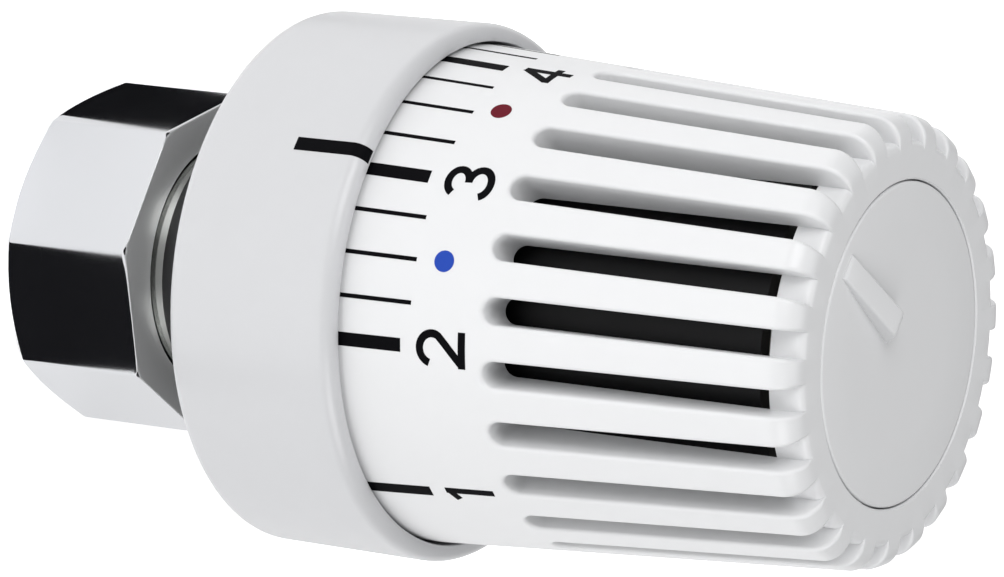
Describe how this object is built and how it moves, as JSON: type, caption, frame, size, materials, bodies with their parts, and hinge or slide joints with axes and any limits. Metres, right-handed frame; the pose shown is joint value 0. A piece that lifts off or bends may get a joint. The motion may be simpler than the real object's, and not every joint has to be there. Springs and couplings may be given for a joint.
{
  "type": "thermostatic radiator head",
  "caption": "Thermostatic radiator head: slotted white knob with a numbered scale, fixed collar with index mark, memory disc and a chromed octagonal union nut.",
  "frame": {"origin": "on the axis at the union nut's open end, which screws on to the valve", "axes": "+Z along the axis from the nut to the knob's end; -Y towards the index mark on the collar"},
  "size_m": [0.0536, 0.0536, 0.0947],
  "materials": {
    "chrome": "polished chrome plate",
    "nickel": "bright nickel plate, turned",
    "white_plastic": "moulded, satin",
    "black_plastic": "glass-filled, matt",
    "grey_plastic": "moulded, matt",
    "natural_plastic": "turned, matt",
    "brass": "turned",
    "aluminium": "drawn, satin",
    "steel": "bright drawn"
  },
  "bodies": {
    "base": {"neck_bush": "nickel", "base_body": "black_plastic", "guide_bush": "brass", "collar": "white_plastic", "stop_ring_low": "black_plastic", "stop_ring_high": "black_plastic"},
    "nut": {"union_nut": "chrome", "nut_washer": "natural_plastic"},
    "carriage": {"sensor_cage": "black_plastic", "thrust_ring": "natural_plastic", "cage_clip": "steel", "spring_seat": "steel", "overtravel_spring": "steel"},
    "knob": {"knob_shell": "white_plastic", "thread_ring": "grey_plastic"},
    "disc": {"memory_disc": "white_plastic", "disc_retainer": "grey_plastic"},
    "sensor": {"sensor_can": "aluminium", "sensor_plate": "aluminium", "fill_plug": "brass", "bellows": "brass"},
    "pin": {"piston_rod": "steel", "pressure_pin": "steel", "pin_tip": "natural_plastic"}
  },
  "joints": [
    {"name": "nut_turn", "type": "hinge", "parent": "base", "child": "nut", "pos_m": [0, 0, 0.007], "axis": [0, 0, 1], "continuous": true},
    {"name": "knob_travel", "type": "slide", "parent": "base", "child": "carriage", "axis": [0, 0, 1], "range_m": [-0.00425, 0.0018]},
    {"name": "knob_turn", "type": "hinge", "parent": "carriage", "child": "knob", "pos_m": [0, 0, 0.06], "axis": [0, 0, 1], "range_deg": [-190, 80]},
    {"name": "disc_turn", "type": "hinge", "parent": "knob", "child": "disc", "pos_m": [0, 0, 0.093], "axis": [0, 0, 1], "continuous": true},
    {"name": "overtravel", "type": "slide", "parent": "carriage", "child": "sensor", "axis": [0, 0, 1], "range_m": [0, 0.0035], "stiffness_N_per_m": 15000, "deforming": ["overtravel_spring"]},
    {"name": "pin_stroke", "type": "slide", "parent": "sensor", "child": "pin", "axis": [0, 0, -1], "range_m": [-0.0015, 0.003], "stiffness_N_per_m": 5000, "deforming": ["bellows"]}
  ],
  "couplings": [
    {"joint": "knob_travel", "follows": "knob_turn", "m_per_rad": 0.0012732}
  ]
}
